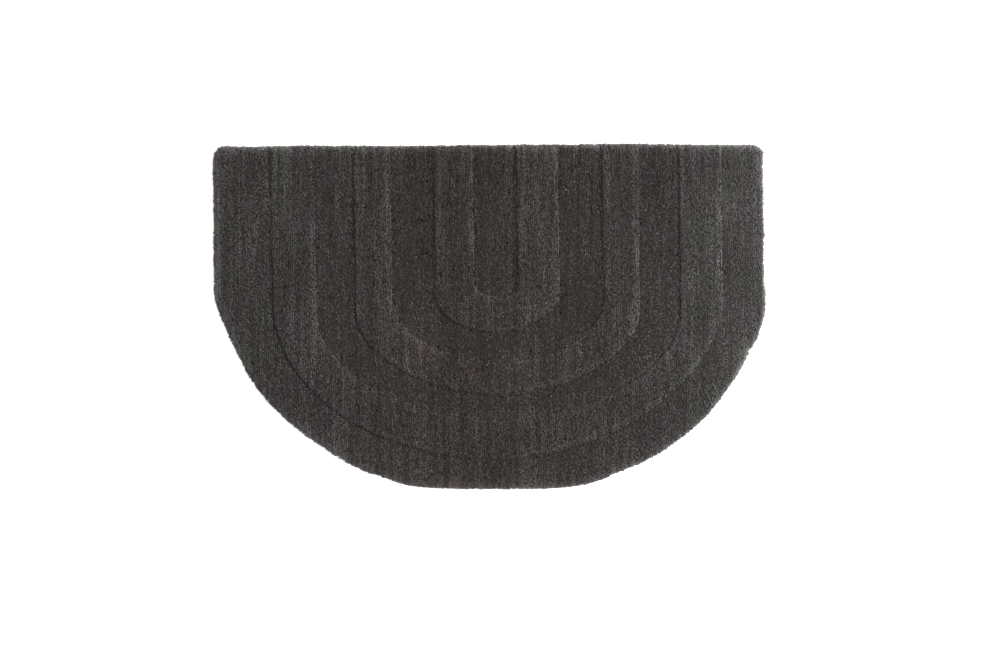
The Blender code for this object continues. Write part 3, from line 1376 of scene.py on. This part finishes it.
@dataclass
class RimLocks(WoolWork):
    """Locks of wool that cover the rug's side and splay outwards.

    Attributes:
        inset: How far inside the rim the locks are rooted.
        ragged: How much longer and shorter the locks are from place to place, as a share.
        rows: For each row, the height of its roots, its lean from upright and the length it is
            given.
        headroom: How far the pile stands over a row's roots, where it has locks at all.
        widths: How much a lock's width varies, as shares.
        lengths: How much its length varies, as shares.
        fleck: How much the tone varies over a lock, as a share.
        leaning: How much its lean varies, as an angle.
        sideways: How much its direction on the plan varies, as a slope.
        height_change: How much the height of its root varies, in millimetres.
    """

    seed: int = 23
    pitch: float = 2.3 * MILLIMETRE
    inset: float = 2.3 * MILLIMETRE
    half_width: float = 1.55 * MILLIMETRE
    ragged: float = 0.22
    ragged_cell: tuple[float, float] = (0.012, 0.012)
    rows: tuple[tuple[float, float, float], ...] = (
        (2.3 * MILLIMETRE, math.radians(86), 4.9 * MILLIMETRE),
        (3.6 * MILLIMETRE, math.radians(70), 5.6 * MILLIMETRE),
        (5.0 * MILLIMETRE, math.radians(56), 5.9 * MILLIMETRE),
        (7.9 * MILLIMETRE, math.radians(56), 5.6 * MILLIMETRE),
    )
    headroom: float = 3.3 * MILLIMETRE
    widths: tuple[float, float] = (0.8, 1.2)
    lengths: tuple[float, float] = (0.74, 1.22)
    fleck: float = 0.15
    leaning: float = 0.12
    sideways: float = 0.4
    height_change: float = 0.3

    def build(self) -> bpy.types.Object:
        """Builds the locks.

        Returns:
            The piece.
        """
        rng = np.random.default_rng(self.seed)
        rows = [self.row(number, rng) for number in range(len(self.rows))]
        copies = Copies(*(np.concatenate(parts) for parts in zip(*rows)))
        piece = copies.joined("rim_locks", TuftForm().model(), rng, self.fleck)
        return belongs(piece, self.finish)

    def row(self, number: int, rng: np.random.Generator) -> tuple[Floats, ...]:
        """Lays out one row of locks.

        Args:
            number: Which row it is, from the floor up.
            rng: Draws the locks' sizes and leans.

        Returns:
            The columns of Copies.
        """
        height, lean, length = self.rows[number]
        spots, outwards = self.form.rim.beside(0.0, self.pitch, 0.5 * (number % 2))
        along, count = -rightwards(outwards), len(spots)
        ragged = self.ragged * NoiseField(self.ragged_cell, self.seed + number).at(spots)
        leans = (lean + rng.normal(0, self.leaning, count)).clip(0, math.pi / 2)[:, None]
        sideways = along * rng.normal(0, self.sideways, (count, 1))
        axis = unit(np.hstack([outwards * np.sin(leans) + sideways, np.cos(leans)]))
        change = self.height_change
        up = height + rng.uniform(-change, change, count) * MILLIMETRE
        root = np.column_stack([spots - outwards * self.inset, up])
        size = np.column_stack([
            self.half_width * rng.uniform(*self.widths, (count, 2)),
            length * (rng.uniform(*self.lengths, count) + ragged),
        ])
        facing = np.column_stack([along, np.zeros(count)])
        tone = self.tone.at(spots, self.form.around(spots), rng)
        kept = self.form.surface(root) > height + self.headroom
        return root[kept], axis[kept], facing[kept], size[kept], tone[kept]


@dataclass
class LooseStrands(WoolWork):
    """Short, paler ends of yarn that lie on the pile.

    Attributes:
        numbers: How many strands lie each way.
        widths: How much a strand's width varies, as shares.
        paler: How many times paler they are than the pile.
        rim_strip: How wide the strip along the rim is that has strands of its own.
        rim_clear: How far inside the rim the other strands lie.
        tries: How many places are drawn for each strand, of which some miss the rug.
        row_turn: How far strands turn from the rows, as an angle.
        rim_turn: The same from the rim.
        slope: How much a strand's slope varies.
        lengths: The shape and the scale of the spread of their lengths, in millimetres.
        length_limits: The least and the greatest length, in millimetres.
        lifts: How low and how high they lie over the solid's surface, in millimetres.
        fleck: How much the tone varies over a strand, as a share.
    """

    seed: int = 37
    numbers: tuple[tuple[Lay, int], ...] = (
        (Lay.ALONG_ROWS, 14000), (Lay.ANY_WAY, 7000), (Lay.ROUND_RIM, 6000),
    )
    half_width: float = 0.28 * MILLIMETRE
    widths: tuple[float, float] = (0.7, 1.3)
    paler: float = 1.5
    rim_strip: float = 6 * MILLIMETRE
    rim_clear: float = MILLIMETRE
    tries: int = 3
    row_turn: float = 0.35
    rim_turn: float = 0.4
    slope: float = 0.16
    lengths: tuple[float, float] = (6.0, 0.6)
    length_limits: tuple[float, float] = (1.6, 7.0)
    lifts: tuple[float, float] = (-0.35, 0.25)
    fleck: float = 0.1

    def build(self) -> list[bpy.types.Object]:
        """Builds the strands.

        Returns:
            One piece for each way that they lie.
        """
        rng = np.random.default_rng(self.seed)
        shape = StrandForm().model()
        pieces = []
        for lay, number in self.numbers:
            strands = self.laid(lay, number, rng)
            piece = strands.joined(f"strands_{lay.value}", shape, rng, self.fleck)
            pieces.append(belongs(piece, self.finish))
        return pieces

    def laid(self, lay: Lay, number: int, rng: np.random.Generator) -> Copies:
        """Lays strands on the pile.

        Args:
            lay: Which way they lie.
            number: How many there are.
            rng: The source of their places.

        Returns:
            The strands.
        """
        spots, along = self.places(lay, number, rng)
        count = len(spots)
        if lay is Lay.ALONG_ROWS:
            turn = math.pi / 2 + rng.normal(0, self.row_turn, count)
        elif lay is Lay.ANY_WAY:
            turn = rng.uniform(0, 2 * math.pi, count)
        else:
            turn = np.arctan2(along[:, 1], along[:, 0]) + rng.normal(0, self.rim_turn, count)
        length = rng.gamma(*self.lengths, count).clip(*self.length_limits) * MILLIMETRE
        slope = rng.normal(0, self.slope, count)
        axis = unit(np.column_stack([np.cos(turn), np.sin(turn), slope]))
        around = self.form.around(spots)
        lift = rng.uniform(*self.lifts, count) * MILLIMETRE
        middle = np.column_stack([spots, around.height + lift])
        wide = self.half_width * rng.uniform(*self.widths, (count, 1))
        facing = np.column_stack([-np.sin(turn), np.cos(turn), rng.normal(0, 0.5, count)])
        tone = self.tone.at(spots, around, rng) * self.paler
        size = np.column_stack([wide, wide, length])
        return Copies(middle - axis * (length / 2)[:, None], axis, facing, size, tone.clip(0, 1))

    def places(self, lay: Lay, number: int, rng: np.random.Generator) -> tuple[Floats, Floats]:
        """Random places on the rug, or in the strip along its rim.

        Args:
            lay: Which way the strands lie.
            number: How many places there are.
            rng: The source of the places.

        Returns:
            The places, and the rim's direction near each.
        """
        if lay is Lay.ROUND_RIM:
            chosen = rng.integers(0, len(self.form.rim.spots), number)
            along = self.form.rim.along[chosen]
            inset = rng.uniform(0.05, 1, number)[:, None] * self.rim_strip
            return self.form.rim.spots[chosen] - rightwards(along) * inset, along
        low, high = (np.array(corner[:2]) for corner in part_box(RUG_NODE))
        spots = rng.uniform(low, high, (self.tries * number, 2))
        spots = spots[self.form.rim.encloses(spots)][:number]
        distance, along = self.form.rim.nearest(spots)
        kept = distance > self.rim_clear
        return spots[kept], along[kept]


@dataclass(frozen=True)
class Lamp:
    """A soft square light.

    Attributes:
        name: Its name.
        bearing: The direction it stands in, anticlockwise from +X, in degrees.
        height: How high it stands over the floor, as an angle in degrees.
        distance: How far it is from the rug's middle.
        side: The length of its side.
        power: Its power in watts.
    """

    name: str
    bearing: float
    height: float
    distance: float
    side: float
    power: float

    def build(self) -> bpy.types.Object:
        """Hangs the light, turned to the rug.

        Returns:
            The light.
        """
        data = bpy.data.lights.new(self.name, "AREA")
        data.shape, data.size, data.energy = "SQUARE", self.side, self.power
        lamp = bpy.data.objects.new(self.name, data)
        bearing, height = math.radians(self.bearing), math.radians(self.height)
        out = Vector((
            math.cos(bearing) * math.cos(height),
            math.sin(bearing) * math.cos(height),
            math.sin(height),
        ))
        lamp.location = out * self.distance
        lamp.rotation_mode = "QUATERNION"
        lamp.rotation_quaternion = (-out).to_track_quat("-Z", "Y")
        bpy.context.scene.collection.objects.link(lamp)
        return lamp


@dataclass
class Studio:
    """The floor, the lights, the pale surroundings and the camera.

    Attributes:
        picture_width: Width of what the camera sees at the pile, in metres.
        picture_middle: The place on the rug that is in the middle of the picture.
        pile_level: Height of the surface at which the width is measured.
    """

    picture_width: float = 1.4495
    picture_middle: tuple[float, float] = (0.0156, -0.0240)
    pile_level: float = 0.0105
    distance: float = 3.0
    sensor: float = 36.0
    floor_side: float = 9.0
    surroundings: float = 0.25
    lamps: tuple[Lamp, ...] = (
        Lamp("raking_light", 8.0, 50.0, 6.0, 3.2, 520.0),
        Lamp("overhead_light", 90.0, 86.0, 3.6, 3.0, 20.0),
    )

    def build(self) -> bpy.types.Object:
        """Sets up the studio.

        Returns:
            The floor.
        """
        bpy.ops.object.select_all(action="DESELECT")
        bpy.ops.mesh.primitive_plane_add(size=self.floor_side)
        floor = bpy.context.object
        floor.name = "floor"
        with editing(floor):
            bpy.ops.mesh.select_all(action="SELECT")
            bpy.ops.mesh.subdivide(number_cuts=3)
        floor.data.materials.append(FloorFinish().material())
        for lamp in self.lamps:
            lamp.build()
        self.light_surroundings()
        self.place_camera()
        return floor

    def light_surroundings(self) -> None:
        """Makes the world an even, pale grey."""
        world = bpy.data.worlds.new("pale_room")
        world.use_nodes = True
        background = world.node_tree.nodes["Background"]
        background.inputs["Color"].default_value = (1, 1, 1, 1)
        background.inputs["Strength"].default_value = self.surroundings
        bpy.context.scene.world = world
        bpy.context.scene.view_settings.view_transform = "Standard"

    def place_camera(self) -> None:
        """Hangs the camera over the rug, looking straight down."""
        data = bpy.data.cameras.new("camera")
        data.sensor_width = self.sensor
        data.lens = self.sensor * self.distance / self.picture_width
        camera = bpy.data.objects.new("camera", data)
        camera.location = (*self.picture_middle, self.pile_level + self.distance)
        bpy.context.scene.collection.objects.link(camera)
        bpy.context.scene.camera = camera


def main() -> None:
    logging.basicConfig(level=logging.INFO, format="%(name)s: %(message)s")
    floor = Studio().build()
    form = RugForm()
    wool = WoolFinish().material()
    ground = Ground(form).build()
    tone = WoolToneAndLight()
    pieces = [*Pile(form, wool, tone).build(), RimLocks(form, wool, tone).build()]
    pieces += LooseStrands(form, wool, tone).build()
    log.info("rug: %d pieces", len(pieces) + 1)


if __name__ == "__main__":
    main()
